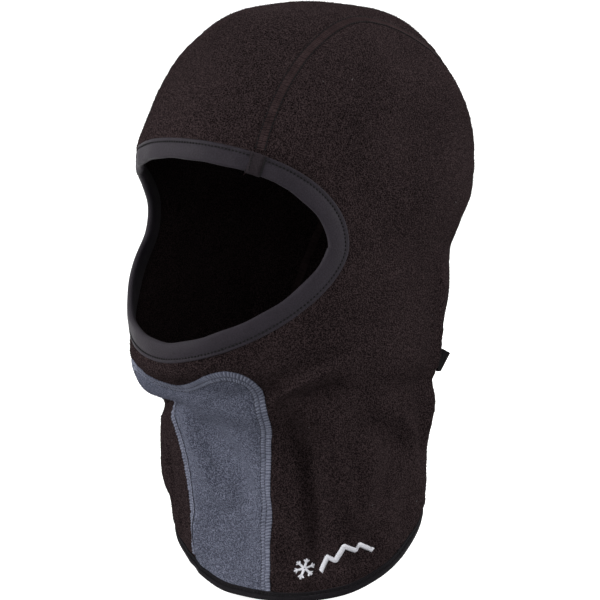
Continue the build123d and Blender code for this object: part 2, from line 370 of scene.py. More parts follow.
def hood_grid(step, last=338.0):
    """Rings of points over the whole hood, near enough evenly spaced."""
    runs = np.linspace(0, DOME_RUN + last - DOME_DEPTH, int((DOME_RUN + last - DOME_DEPTH) / step))
    theta, run, tris, rings = [0.0], [0.0], [], [[0]]
    for r in runs[1:]:
        around = smooth_hood(np.linspace(0, 2 * pi, 90), np.full(90, r))
        length = np.linalg.norm(np.diff(around, axis=0), axis=1).sum()
        count = max(8, int(length / step))
        first = len(theta)
        theta += list(-pi + 2 * pi * np.arange(count) / count)
        run += [r] * count
        rings.append(list(range(first, first + count)))
    for upper, lower in zip(rings, rings[1:]):
        if len(upper) == 1:
            tris += [(0, lower[i], lower[(i + 1) % len(lower)]) for i in range(len(lower))]
            continue
        m, n, i, j = len(upper), len(lower), 0, 0
        while i < m or j < n:
            if j >= n or (i < m and (i + 1) / m <= (j + 1) / n):
                tris.append((upper[i % m], lower[j % n], upper[(i + 1) % m]))
                i += 1
            else:
                tris.append((upper[i % m], lower[j % n], lower[(j + 1) % n]))
                j += 1
    return np.array(theta), np.array(run), np.array(tris)


def clip(theta, run, tris, gap):
    """Cuts a triangle net along the line where gap is zero, keeping gap above zero."""
    gap = np.where(np.abs(gap) < 0.15, 0.01, gap)
    inside = gap > 0
    count = inside[tris].sum(1)
    kept = [tuple(t) for t in tris[count == 3]]
    theta, run = list(theta), list(run)
    made = {}

    def between(a, b):
        key = (min(a, b), max(a, b))
        if key not in made:
            share = gap[a] / (gap[a] - gap[b])
            turn = (theta[b] - theta[a] + pi) % (2 * pi) - pi
            theta.append(theta[a] + share * turn)
            run.append(run[a] + share * (run[b] - run[a]))
            made[key] = len(theta) - 1
        return made[key]

    for tri in tris[(count == 1) | (count == 2)]:
        shape = []
        for a, b in zip(tri, np.roll(tri, -1)):
            if inside[a]:
                shape.append(int(a))
            if inside[a] != inside[b]:
                shape.append(between(int(a), int(b)))
        kept += [(shape[0], shape[k], shape[k + 1]) for k in range(1, len(shape) - 1)]
    kept = np.array(kept)
    used = np.unique(kept)
    renumber = np.zeros(len(theta), int)
    renumber[used] = np.arange(len(used))
    return np.array(theta)[used], np.array(run)[used], renumber[kept]


def shell(theta, run, tris, thickness):
    """A closed layer of cloth: outside, inside and its cut edges."""
    outer = skin(theta, run)
    inner = skin(theta, run, np.full(len(theta), -thickness))
    n = len(theta)
    pairs = {}
    for a, b in np.vstack([tris[:, [0, 1]], tris[:, [1, 2]], tris[:, [2, 0]]]).tolist():
        if (b, a) in pairs:
            del pairs[(b, a)]
        else:
            pairs[(a, b)] = True
    faces = tris.tolist() + (tris[:, ::-1] + n).tolist()
    faces += [(b, a, a + n, b + n) for a, b in pairs]
    return np.vstack([outer, inner]), faces


def resample(theta, run, step, closed=False):
    """The same line on the cloth with evenly spaced points."""
    theta = np.unwrap(theta)
    if closed:
        theta = np.append(theta, theta[0] + round((theta[-1] - theta[0]) / (2 * pi)) * 2 * pi)
        run = np.append(run, run[0])
    gaps = np.linalg.norm(np.diff(smooth_hood(theta, run), axis=0), axis=1)
    length = np.concatenate([[0], np.cumsum(gaps)])
    count = int(length[-1] / step)
    at = np.linspace(0, length[-1], count, endpoint=not closed)
    return np.interp(at, length, theta), np.interp(at, length, run), at


def relax(values, passes):
    """The numbers of an open line with their kinks smoothed and their ends kept."""
    for _ in range(passes):
        values[1:-1] = (values[:-2] + 2 * values[1:-1] + values[2:]) / 4
    return values


def sideways(theta, run, closed=False):
    """Change of angle and run for one millimetre to the side of a line on the cloth."""
    p = smooth_hood(theta, run)
    if closed:
        tangent = np.roll(p, -1, 0) - np.roll(p, 1, 0)
    else:
        tangent = np.gradient(p, axis=0)
    normal = cross_normals(smooth_hood, theta, run)
    side = np.cross(tangent, normal)
    side /= np.linalg.norm(side, axis=1, keepdims=True)
    by_angle = (smooth_hood(theta + 0.004, run) - smooth_hood(theta - 0.004, run)) / 0.008
    by_run = (smooth_hood(theta, run + 0.3) - smooth_hood(theta, run - 0.3)) / 0.6
    aa, ab, bb = (by_angle ** 2).sum(1), (by_angle * by_run).sum(1), (by_run ** 2).sum(1)
    sa, sb = (side * by_angle).sum(1), (side * by_run).sum(1)
    det = aa * bb - ab * ab
    return (bb * sa - ab * sb) / det, (aa * sb - ab * sa) / det


RING = np.linspace(0, 2 * pi, 7)[:-1]


def tube_faces(along, around, closed):
    """Quads for a grid that wraps in its second direction."""
    faces = []
    for i in range(along if closed else along - 1):
        k = (i + 1) % along
        for j in range(around):
            m = (j + 1) % around
            faces.append((i * around + j, k * around + j, k * around + m, i * around + m))
    if not closed:
        faces.append(tuple(range(around))[::-1])
        faces.append(tuple((along - 1) * around + j for j in range(around)))
    return faces


def strip(theta, run, across, height, closed=False):
    """A closed strip along a line: across is sideways and height off the cloth, point by point."""
    side_a, side_r = sideways(theta, run, closed)
    a = theta[:, None] + across * side_a[:, None]
    r = run[:, None] + across * side_r[:, None]
    points = skin(a, r, height)
    return points.reshape(-1, 3), tube_faces(len(theta), across.shape[-1], closed)


# ---------------------------------------------------------------- materials
def nodes_of(name):
    material = bpy.data.materials.new(name)
    material.use_nodes = True
    tree = material.node_tree
    return material, tree, tree.nodes["Principled BSDF"]


def add(tree, kind, **inputs):
    node = tree.nodes.new(kind)
    for key, value in inputs.items():
        node.inputs[key.replace("_", " ")].default_value = value
    return node


def noise(tree, place, scale, detail=2.0, roughness=0.5):
    node = add(tree, "ShaderNodeTexNoise", Scale=scale, Detail=detail, Roughness=roughness)
    tree.links.new(place, node.inputs["Vector"])
    return node.outputs["Fac"]


def ramp(tree, value, low, high, dark, light):
    """Maps a value from low..high to dark..light."""
    node = add(tree, "ShaderNodeMapRange", From_Min=low, From_Max=high, To_Min=dark, To_Max=light)
    tree.links.new(value, node.inputs["Value"])
    return node.outputs["Result"]


def combine(tree, kind, a, b):
    node = tree.nodes.new("ShaderNodeMath")
    node.operation = kind
    for socket, value in zip(node.inputs, (a, b)):
        if isinstance(value, (int, float)):
            socket.default_value = value
        else:
            tree.links.new(value, socket)
    return node.outputs["Value"]


def tinted(tree, factor, dark, light):
    node = tree.nodes.new("ShaderNodeMix")
    node.data_type = "RGBA"
    node.inputs["A"].default_value = (*dark, 1)
    node.inputs["B"].default_value = (*light, 1)
    tree.links.new(factor, node.inputs["Factor"])
    return node.outputs["Result"]


def raise_by(tree, shader, height, distance, strength):
    node = add(tree, "ShaderNodeBump", Distance=distance, Strength=strength)
    tree.links.new(height, node.inputs["Height"])
    tree.links.new(node.outputs["Normal"], shader.inputs["Normal"])


def fleece(name, dark, light, tint, sheen):
    """Brushed fleece: a short clumped nap with a soft bloom and uneven dye."""
    material, tree, shader = nodes_of(name)
    place = tree.nodes.new("ShaderNodeTexCoord").outputs["Object"]
    clumps = noise(tree, place, 1300, 2, 0.6)
    fibres = noise(tree, place, 2100, 1, 0.6)
    clouds = noise(tree, place, 22, 2, 0.5)
    clumped, fine = ramp(tree, clumps, 0.45, 0.585, 0, 0.62), ramp(tree, fibres, 0.44, 0.59, 0, 0.38)
    grain = combine(tree, "ADD", clumped, fine)
    shade = combine(tree, "ADD", grain, ramp(tree, clouds, 0.35, 0.65, -0.06, 0.06))
    tree.links.new(tinted(tree, shade, dark, light), shader.inputs["Base Color"])
    shader.inputs["Roughness"].default_value = 0.95
    shader.inputs["Specular IOR Level"].default_value = 0.0
    shader.inputs["Sheen Weight"].default_value = sheen
    shader.inputs["Sheen Roughness"].default_value = 0.55
    shader.inputs["Sheen Tint"].default_value = (*tint, 1)
    raise_by(tree, shader, grain, 0.0011, 0.75)
    return material


def tape(name, dark, light, rib_scale, gloss, shine=0.14):
    """Smooth knitted tape with fine ribs."""
    material, tree, shader = nodes_of(name)
    place = tree.nodes.new("ShaderNodeTexCoord").outputs["Object"]
    knit = noise(tree, place, rib_scale, 1, 0.5)
    wear = noise(tree, place, 90, 3, 0.6)
    shade = combine(tree, "ADD", ramp(tree, knit, 0.35, 0.65, 0, 0.6), ramp(tree, wear, 0.3, 0.7, 0, 0.4))
    tree.links.new(tinted(tree, shade, dark, light), shader.inputs["Base Color"])
    tree.links.new(ramp(tree, wear, 0.3, 0.7, gloss - 0.07, gloss + 0.07), shader.inputs["Roughness"])
    shader.inputs["Specular IOR Level"].default_value = shine
    shader.inputs["Sheen Weight"].default_value = 0.02
    shader.inputs["Sheen Roughness"].default_value = 0.4
    raise_by(tree, shader, knit, 0.0003, 0.5)
    return material


def plain(name, colour):
    """One even matt colour, for fibres too small to show a pattern."""
    material, _, shader = nodes_of(name)
    shader.inputs["Base Color"].default_value = (*colour, 1)
    shader.inputs["Roughness"].default_value = 0.95
    shader.inputs["Specular IOR Level"].default_value = 0.0
    return material


def yarn(name, dark, light, gloss, shine=0.1):
    """Spun or filament thread, twisted finely along its length."""
    material, tree, shader = nodes_of(name)
    place = tree.nodes.new("ShaderNodeTexCoord").outputs["Object"]
    twist = noise(tree, place, 3200, 2, 0.6)
    lots = noise(tree, place, 160, 2, 0.5)
    shade = combine(tree, "ADD", ramp(tree, twist, 0.3, 0.7, 0, 0.7), ramp(tree, lots, 0.3, 0.7, 0, 0.3))
    tree.links.new(tinted(tree, shade, dark, light), shader.inputs["Base Color"])
    shader.inputs["Roughness"].default_value = gloss
    shader.inputs["Specular IOR Level"].default_value = shine
    raise_by(tree, shader, twist, 0.0002, 0.5)
    return material


BLACK = fleece("black_fleece", (0.0020, 0.0014, 0.0016), (0.054, 0.0372, 0.0386), (0.6, 0.5, 0.5), 0.02)
GREY = fleece("grey_fleece", (0.032, 0.0345, 0.052), (0.228, 0.243, 0.320), (0.8, 0.85, 1.0), 0.04)
TAPE = tape("binding_tape", (0.0095, 0.0076, 0.0105), (0.0205, 0.0168, 0.0225), 1500, 0.62, 0.10)
JOIN = tape("binding_join", (0.0125, 0.0098, 0.0115), (0.0255, 0.0200, 0.0235), 1500, 0.8, 0.04)
HEM = tape("hem_tape", (0.0035, 0.003, 0.0038), (0.0085, 0.0072, 0.0092), 1500, 0.7, 0.05)
BLACK_LOCK = yarn("black_overlock", (0.012, 0.0080, 0.0082), (0.050, 0.0335, 0.0345), 0.95, 0.0)
BLACK_BED = yarn("black_seam_bed", (0.005, 0.0034, 0.0035), (0.026, 0.0175, 0.0180), 0.95, 0.0)
GREY_LOCK = yarn("grey_overlock", (0.072, 0.078, 0.106), (0.205, 0.218, 0.280), 0.8)
GREY_BED = yarn("grey_seam_bed", (0.045, 0.049, 0.069), (0.12, 0.127, 0.172), 0.9)
BLACK_THREAD = yarn("black_thread", (0.0015, 0.0015, 0.0018), (0.005, 0.0045, 0.005), 0.7)
NEEDLE = yarn("needle_thread", (0.026, 0.027, 0.036), (0.060, 0.063, 0.082), 0.7)
WHITE = yarn("white_embroidery", (0.36, 0.36, 0.40), (0.84, 0.84, 0.88), 0.42)
NAP_DARK = plain("black_nap_dark", (0.017, 0.0118, 0.0122))
NAP_LIGHT = plain("black_nap_light", (0.056, 0.0395, 0.0405))
NAP_GREY = plain("grey_nap", (0.18, 0.19, 0.247))
LINT = plain("lint", (0.25, 0.25, 0.26))
# The seam tab's tape: a dark tape, made darker still, near black, as painted shade for its shadowed inner
# face.
TAB_DARK_WITH_PAINTED_SHADE = tape("tab_tape", (0.0012, 0.001, 0.0012), (0.004, 0.0035, 0.0039), 1800, 0.85, 0.02)


# ---------------------------------------------------------------- fleece panels
theta0, run0, tris0 = hood_grid(1.7)


def panel(name, gaps, material):
    """One cut piece of fleece, where every gap function is positive."""
    theta, run, tris = theta0, run0, tris0
    for gap in gaps:
        p = smooth_hood(theta, run)
        theta, run, tris = clip(theta, run, tris, gap(theta, p))
    points, faces = shell(theta, run, tris, FLEECE)
    piece = mesh(name, points, faces, material, "hood", 55)
    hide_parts(name)
    return np.array(points[:len(theta)]), tris


def nap(name, cloths, count, long, wide, lie, material):
    """Loose fibre ends standing off the cloth, each a thin closed spike."""
    corners = np.concatenate([points[tris] for points, tris in cloths])
    a, b, c = corners[:, 0], corners[:, 1], corners[:, 2]
    normal = np.cross(b - a, c - a)
    area = np.linalg.norm(normal, axis=1)
    pick = rng.choice(len(a), count, p=area / area.sum())
    u, v = rng.random((2, count, 1))
    flip = (u + v) > 1
    u, v = np.where(flip, 1 - u, u), np.where(flip, 1 - v, v)
    root = a[pick] + u * (b - a)[pick] + v * (c - a)[pick]
    up = (normal / area[:, None])[pick]
    stray = rng.standard_normal((count, 3))
    stray -= up * (stray * up).sum(1, keepdims=True)
    stray /= np.linalg.norm(stray, axis=1, keepdims=True)
    tip = root + (up + lie * stray) * (long * (0.5 + rng.random((count, 1))))
    side = np.cross(up, stray) * wide / 2
    heel = root - stray * wide * 0.6 - up * 0.05
    points = np.stack([root - side, root + side, heel, tip], 1).reshape(-1, 3)
    spike = np.array([(0, 1, 3), (1, 2, 3), (2, 0, 3), (0, 2, 1)])
    faces = (np.arange(count)[:, None, None] * 4 + spike).reshape(-1, 3)
    return mesh(name, points, faces, material, "hood")


outside_face = lambda theta, p: face_gap(theta, FLEECE - p[..., 2]) + 9.4
over_hem = lambda theta, p: hem_gap(p) - 1.0
in_centre = lambda theta, p: centre_gap(p)
in_throat = lambda theta, p: throat_gap(p) - THROAT_SEAM / 2
beside_centre = lambda theta, p: -centre_gap(p)
beside_throat = lambda theta, p: THROAT_SEAM / 2 - throat_gap(p)

centre = panel("centre_panel", [over_hem, outside_face, in_centre], BLACK)
sides = panel("side_and_chin_panel", [over_hem, outside_face, beside_centre, beside_throat], BLACK)
throat = panel("throat_panel", [over_hem, in_throat], GREY)


nap("black_nap_dark", [centre, sides], 36000, 0.55, 0.25, 0.9, NAP_DARK)
nap("black_nap_light", [centre, sides], 44000, 0.55, 0.25, 0.9, NAP_LIGHT)
nap("grey_nap", [throat], 9000, 0.5, 0.25, 0.9, NAP_GREY)
nap("lint", [centre, sides], 60, 0.35, 0.3, 2.2, LINT)


# ---------------------------------------------------------------- tapes
def face_line(count=900):
    """The binding's outer edge: angle and depth, and the way outwards, evenly spaced."""
    turn = np.linspace(0, 2 * pi, 4000, endpoint=False)
    side, up = np.cos(turn), np.sin(turn)
    power = 2 / np.where(up > 0, FACE_ROUND_TOP, FACE_ROUND_LOW)
    height = np.where(up > 0, FACE_RISE, FACE_DROP)
    a = FACE_HALF * np.sign(side) * np.abs(side) ** power
    b = height * np.sign(up) * np.abs(up) ** power
    length = np.concatenate([[0], np.cumsum(np.hypot(np.diff(a), np.diff(b)))])
    at = np.linspace(0, length[-1], count, endpoint=False)
    a, b = np.interp(at, length, a), np.interp(at, length, b)
    for _ in range(6):
        a = (np.roll(a, 1) + 2 * a + np.roll(a, -1)) / 4
        b = (np.roll(b, 1) + 2 * b + np.roll(b, -1)) / 4
    ta, tb = np.roll(a, -1) - np.roll(a, 1), np.roll(b, -1) - np.roll(b, 1)
    size = np.hypot(ta, tb)
    return a, b, tb / size, -ta / size, at


def on_face(margin, height, line):
    """Points at a margin outside the face line, off the cloth by a height."""
    a, b, na, nb, at = line
    margin, height = np.broadcast_arrays(margin, height)
    x = a[:, None] + margin * na[:, None]
    y = b[:, None] + margin * nb[:, None]
    return skin(x / FACE_R, run_of(FACE_MID - y), height)


def folded_section(width, inside, rise):
    """A tape folded over an edge: sideways and height round its closed outline."""
    outer = [(0.0, 0.05), (-0.15, 0.55), (-0.6, 0.72), (-1.5, 0.62), (-2.1, 0.50), (-2.7, 0.66)]
    outer += [(-2.7 - (width - 4.4) * k / 6, 0.72 + rise * sin(pi * k / 6) ** 0.7) for k in range(1, 6)]
    bend = [(-width + 1.7 - 1.7 * sin(radians(q)), -1.1 + 1.9 * cos(radians(q))) for q in range(5, 180, 17)]
    inner = [(-width + 2.6, -3.0), (-inside, -3.0), (-inside + 0.2, -2.6), (-inside, -2.25)]
    inner += [(-width + 2.0, -2.25)]
    core = [(-width + 1.1, -2.2), (-width + 1.0, -1.1), (-width + 1.1, 0.02), (-3, 0.03)]
    return np.array(outer + bend + inner + core)


STITCH_ROW, FACE_STITCHES = -2.1, 243
TUG_PITCH = 2.3
line = face_line()


def face_binding():
    """The folded tape, a little puffed between its stitches."""
    at = line[-1]
    section = folded_section(FACE_BAND, 1.0, 0.38)
    margin = np.tile(section[:, 0], (len(at), 1))
    height = np.tile(section[:, 1], (len(at), 1))
    puff = 0.12 * np.cos(at / 17 + 1) + 0.1 * np.cos(at / 6.1) + 0.07 * np.cos(at / 3.7 + 2)
    tug = 0.10 * np.cos(2 * pi * at / TUG_PITCH)
    outside = section[:, 1] > 0.3
    puffed = puff[:, None] * hump(section[:, 0] + 6, 4)
    tugged = tug[:, None] * hump(section[:, 0] - STITCH_ROW, 0.9)
    height = height + outside * (puffed + tugged)
    wander = 0.25 * np.cos(at / 11) + 0.18 * np.cos(at / 4.3)
    margin = margin + wander[:, None] * hump(section[:, 0] + FACE_BAND, 2)
    points = on_face(margin, height, line).reshape(-1, 3)
    faces = tube_faces(len(at), len(section), True)
    binding = mesh("face_binding", points, faces, TAPE, "hood")
    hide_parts("face_binding")


face_binding()


def stitches(name, place, count, long, thick, material):
    """Separate little stitches along a line: place(share) gives a point and its directions."""
    ring = [(cos(q), sin(q)) for q in RING]
    profile = [(-0.5, 0.25), (-0.36, 0.8), (0, 1.0), (0.36, 0.8), (0.5, 0.25)]
    points, faces = [], []
    for k in range(count):
        p, ahead, up = place((k + 0.5) / count)
        side = np.cross(ahead, up)
        first = len(points)
        for s, w in profile:
            drop = -0.35 * thick * (2 * abs(s)) ** 2
            for c, d in ring:
                half = w * thick / 2
                points.append(p + ahead * s * long + side * c * half + up * (d * half + drop))
        for r in range(4):
            for c in range(6):
                q = first + r * 6
                faces.append((q + c, q + (c + 1) % 6, q + 6 + (c + 1) % 6, q + 6 + c))
        faces += [tuple(first + c for c in range(6))[::-1], tuple(first + 24 + c for c in range(6))]
    return mesh(name, points, faces, material, "hood")


def dense_place(points, normals, closed):
    """Point and directions at a share of the way along a dense line."""
    count = len(points)

    def place(share):
        x = share * (count if closed else count - 1)
        i = int(x) % count
        j = (i + 1) % count
        t = x - int(x)
        p = points[i] * (1 - t) + points[j] * t
        ahead = points[j] - points[i]
        return p, ahead / np.linalg.norm(ahead), normals[i]
    return place


def row(points_at, height, closed):
    """Stitch places on a line, where points_at(height) gives its points that far off the cloth."""
    points = points_at(height)
    return dense_place(points, (points - points_at(height - 0.5)) / 0.5, closed)


def row_on_face(margin, height):
    """Stitch places all round the face opening."""
    return row(lambda h: on_face(np.array([[margin]]), np.array([[h]]), line)[:, 0], height, True)


stitches("face_topstitch", row_on_face(STITCH_ROW, 0.62), FACE_STITCHES, 1.6, 1.1, BLACK_THREAD)


def nearest(angle):
    """Which points of the face line's first quarter are nearest to the angles."""
    quarter = line[0][:len(line[0]) // 4]
    near = np.interp(angle * FACE_R, quarter[::-1], np.arange(len(quarter))[::-1])
    return np.round(near).astype(int)


LAP_RINGS = 15
LAP_AT = nearest(np.linspace(radians(32.6), radians(38.2), LAP_RINGS))


def binding_join():
    """The tape's two ends, lapped and sewn down beside the crown."""
    across = np.linspace(0.3, -FACE_BAND - 0.1, 14)
    section = [(m, 1.25 + 0.42 * hump(m + 6.5, 5)) for m in across]
    section += [(-FACE_BAND - 0.5, 0.4), (-FACE_BAND - 0.55, -1.2), (-FACE_BAND - 0.1, -2.6)]
    section += [(-FACE_BAND + 0.5, -0.4), (-FACE_BAND + 0.6, 0.5)]
    section += [(m, 0.72) for m in across[::-1][2:]]
    section = np.array(section)
    rim = 0.9 * np.clip(1 - np.abs(np.linspace(-1, 1, LAP_RINGS)) ** 6, 0.2, 1)
    lift = np.tile(section[:, 1], (LAP_RINGS, 1))
    lift = np.where(lift > 0.8, 0.72 + (lift - 0.72) * rim[:, None], lift)
    lap = tuple(v[LAP_AT] for v in line)
    points = on_face(np.tile(section[:, 0], (LAP_RINGS, 1)), lift, lap).reshape(-1, 3)
    mesh("binding_join", points, tube_faces(LAP_RINGS, len(section), False), JOIN, "hood")


binding_join()


def row_across(angle, low, high, height, count=40):
    """A short line across the binding at one angle."""
    k = nearest(radians(angle))
    one = tuple(v[k:k + 1] for v in line)
    margins = np.linspace(high, low, count)
    return row(lambda h: on_face(margins[None, :], h, one)[0], height, False)


stitches("join_stitch", row_across(33.7, -10.4, -0.6, 1.62), 6, 1.2, 0.7, BLACK_THREAD)
stitches("join_seam", row_across(38.3, -10.6, -0.3, 1.35), 9, 1.5, 0.9, BLACK_THREAD)


def thread(name, points, thick, material):
    """A loose thread through a few points."""
    points = np.array(points, float)
    verts = []
    for k, p in enumerate(points):
        ahead = points[min(k + 1, len(points) - 1)] - points[max(k - 1, 0)]
        ahead /= np.linalg.norm(ahead)
        side = np.cross(ahead, (0, 0, 1.0))
        side /= np.linalg.norm(side)
        up = np.cross(side, ahead)
        verts += [p + (side * cos(q) + up * sin(q)) * thick / 2 for q in RING]
    return mesh(name, verts, tube_faces(len(points), 6, False), material, "hood")


# ---------------------------------------------------------------- hem tape
def hem_line(step):
    """The hem as angle and run, evenly spaced all the way round."""
    theta = np.linspace(-pi, pi, 721)[:-1]
    low, high = np.full(720, run_of(230.0)), np.full(720, run_of(345.0))
    for _ in range(40):
        run = (low + high) / 2
        above = hem_gap(smooth_hood(theta, run)) > 0
        low, high = np.where(above, run, low), np.where(above, high, run)
    return resample(theta, run, step, True)


hem_theta, hem_run, hem_at = hem_line(0.8)
HEM_TOP = 1.5 - HEM_BAND
HEM_STITCH_PITCH = 2.6


def hem_binding():
    """The narrow tape folded over the hem. Returns which way down is, sideways from the hem's line."""
    top = HEM_TOP
    section = [(0.4, 0.0), (0.5, 0.55), (-0.2, 0.95), (-1.4, 0.98), (-2.8, 0.92), (top + 2.2, 0.85)]
    section += [(top + 1.6, 0.5), (top + 1.1, 0.5), (top + 0.7, 0.78), (top + 0.15, 0.6), (top, 0.05)]
    section += [(-1.0, 0.03), (-0.9, -2.23), (top, -2.23), (top + 0.2, -3.0)]
    section += [(-0.6, -3.05), (0.2, -2.6), (0.5, -1.1)]
    section = np.array(section)
    across = np.tile(section[:, 0], (len(hem_at), 1))
    height = np.tile(section[:, 1], (len(hem_at), 1))
    puff = 0.08 * np.cos(hem_at / 9) + 0.07 * np.cos(hem_at / 3.1 + 1)
    height = height + (section[:, 1] > 0.4) * puff[:, None] * hump(section[:, 0] + 2, 2.5)
    down = 1.0 if sideways(hem_theta, hem_run, True)[1].mean() > 0 else -1.0
    points, faces = strip(hem_theta, hem_run, across * down, height, True)
    if down < 0:
        faces = [f[::-1] for f in faces]
    hem = mesh("hem_binding", points, faces, HEM, "hood")
    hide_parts("hem_binding")
    return down


down = hem_binding()


def row_on_line(theta, run, across, height, closed):
    """Stitch places beside a line on the cloth."""
    side_a, side_r = sideways(theta, run, closed)
    t, r = theta + across * side_a, run + across * side_r
    return row(lambda h: skin(t, r, np.full(len(t), h)), height, closed)


stitches("hem_topstitch", row_on_line(hem_theta, hem_run, (HEM_TOP + 1.35) * down, 0.78, True),
         int(hem_at[-1] / HEM_STITCH_PITCH), 1.9, 0.5, BLACK_THREAD)


# ---------------------------------------------------------------- flatlock seams
def flatlock(name, line, half, pitch, bed, yarn_material, low, high, reach, thick):
    """A flat seam: a knitted bed, and the overlock loops that cross it."""
    theta, run, at = line
    offsets = np.linspace(-half, half, 15)
    arch = np.clip(1 - (np.abs(offsets) / half) ** 6, 0, 1)
    across = np.tile(np.concatenate([offsets, [half - 0.3, -half + 0.3]]), (len(at), 1))
    rise = 0.10 + 0.30 * arch - 0.16 * hump(np.abs(offsets) - 0.55 * half, 0.35)
    height = np.tile(np.concatenate([rise, [low, low]]), (len(at), 1))
    points, faces = strip(theta, run, across, height)
    piece = mesh(name, points, faces, bed, "hood")
    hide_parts(name)

    side_a, side_r = sideways(theta, run)
    count = int(at[-1] / pitch) * len(reach)
    middle = (np.arange(count) // len(reach) + 0.5) * pitch + 0.12 * pitch * rng.standard_normal(count)
    span = np.linspace(-1, 1, 9)
    start, end = np.array(reach)[np.arange(count) % len(reach)].T[:, :, None]
    uneven = 1 + 0.04 * rng.standard_normal((count, 1))
    offset = (start + end) / 2 + (end - start) / 2 * span[None, :] * uneven
    lean = middle[:, None] + 0.22 * pitch * span[None, :]
    t, r = np.interp(lean, at, theta), np.interp(lean, at, run)
    ta, tr = np.interp(lean, at, side_a), np.interp(lean, at, side_r)
    lift = np.broadcast_to(high * np.sqrt(np.clip(1 - (0.9 * span) ** 4, 0, 1)), lean.shape)
    spine = skin(t + offset * ta, r + offset * tr, lift)
    above = skin(t + offset * ta, r + offset * tr, lift + 0.5)
    up = (above - spine) / 0.5
    cross = np.gradient(spine, axis=1)
    ahead = np.cross(cross, up)
    ahead /= np.linalg.norm(ahead, axis=-1, keepdims=True)
    fat = thick / 2 * (1 - 0.35 * np.abs(span) ** 3)[None, :, None, None]
    loops = spine[:, :, None] + fat * (ahead[:, :, None] * np.cos(RING)[None, None, :, None]
                                       + 0.62 * up[:, :, None] * np.sin(RING)[None, None, :, None])
    points = loops.reshape(-1, 3)
    faces = []
    for k in range(count):
        first = k * len(span) * 6
        faces += [tuple(i + first for i in face) for face in tube_faces(len(span), 6, False)]
    return mesh(name + "_loops", points, faces, yarn_material, "hood")


def crown_line(side):
    """The seam from the face binding over the crown and down the back, on one side."""
    wide, front, back = LEVELS[0, 1:]
    points = []
    for y in np.arange(-84.0, 20.5, 1.0):
        x = float(hermite(np.array([y]), CROWN_WIDTHS[:, 0], CROWN_WIDTHS[:, 1])[0])
        low, high = 2.0, DOME_RUN + 40.0
        for _ in range(50):
            run = (low + high) / 2
            tilt = min(1.0, run / DOME_RUN) * pi / 2
            width = wide * max(sin(tilt), 1e-4) ** 0.88
            reach = (MID_Y - front) * sin(tilt) ** 1.25 if y < MID_Y else (back - MID_Y) * sin(tilt) ** 0.88
            value = (x / width) ** 2 + ((y - MID_Y) / reach) ** 2
            low, high = (run, high) if value > 1 else (low, run)
        points.append((np.arctan2(x / width, (MID_Y - y) / reach), run))
    start = points[-1]
    for run in np.arange(start[1] + 1.5, run_of(320.0), 1.5):
        tilt = min(1.0, run / DOME_RUN) * pi / 2
        depth = DOME_DEPTH * (1 - cos(tilt)) if run < DOME_RUN else DOME_DEPTH + run - DOME_RUN
        x = float(hermite(np.array([max(depth, 80.0)]), BACK_WIDTHS[:, 0], BACK_WIDTHS[:, 1], True)[0])
        widest = hermite(np.array([max(depth, DOME_DEPTH)]), LEVELS[:, 0], LEVELS[:, 1], True)
        width = float(widest[0]) * sin(tilt) ** 0.88
        if x >= width * 0.995:
            continue
        points.append((pi - np.arcsin(x / width), run))
    theta, run = np.array(points).T
    p = smooth_hood(theta, run)
    keep = (face_gap(theta, FLEECE - p[:, 2]) > -1.5) & (hem_gap(p) > HEM_BAND - 3.5)
    return resample(side * relax(theta[keep], 160), relax(run[keep], 160), SEAM_STEP)


def crown_seam(name, side):
    """A crown seam: its loops and needle lines outside, and its band inside."""
    theta, run, at = crown_line(side)
    flatlock(name, (theta, run, at), 2.7, 1.2, BLACK_BED, BLACK_LOCK, 0.03, 0.34,
             ((-2.1, 0.05), (-0.05, 2.1)), 1.05)
    for offset, edge in ((2.45, "outer"), (-2.45, "inner")):
        places = row_on_line(theta, run, offset, 0.34, False)
        stitches(f"{name}_{edge}_needle", places, int(at[-1] / 2.1), 1.8, 0.8, BLACK_THREAD)
    half = 2.4
    inner = np.linspace(-half, half, 9)
    across = np.concatenate([np.tile(inner, (len(at), 1)), np.tile([2.0, -2.0], (len(at), 1))], 1)
    drop = np.abs(np.sin(pi * at[:, None] / 2.5)) * np.clip(1 - (np.abs(inner) / half) ** 4, 0, 1)
    height = np.concatenate([-FLEECE - 0.12 - 0.35 * drop, np.full((len(at), 2), -FLEECE - 0.03)], 1)
    points, faces = strip(theta, run, across, height)
    mesh(name + "_inside", points, [f[::-1] for f in faces], BLACK_LOCK, "hood")


crown_seam("left_crown_seam", 1)
crown_seam("right_crown_seam", -1)


def throat_seam_line():
    """The middle of the seam round the throat panel, as angle and run."""
    line = THROAT_LINE[THROAT_LINE[:, 1] < 340]
    tangent = np.gradient(line, axis=0)
    tangent /= np.linalg.norm(tangent, axis=1, keepdims=True)
    inward = np.stack([-tangent[:, 1], tangent[:, 0]], 1)
    if (inward[len(line) // 4] * (np.array([0, 250]) - line[len(line) // 4])).sum() < 0:
        inward = -inward
    mid = line + inward * THROAT_SEAM / 2
    x, depth = mid.T
    width = hermite(depth, LEVELS[:, 0], LEVELS[:, 1], True)
    power = 2 / (2 + 0.6 * np.clip((depth - 200) / 40, 0, 1))
    theta = np.arcsin(np.clip(np.abs(x) / width, 0, 1) ** (1 / power)) * np.sign(x)
    run = run_of(depth)
    p = smooth_hood(theta, run)
    keep = hem_gap(p) > HEM_BAND - 3.5
    return resample(relax(theta[keep], 4), relax(run[keep], 4), SEAM_STEP)


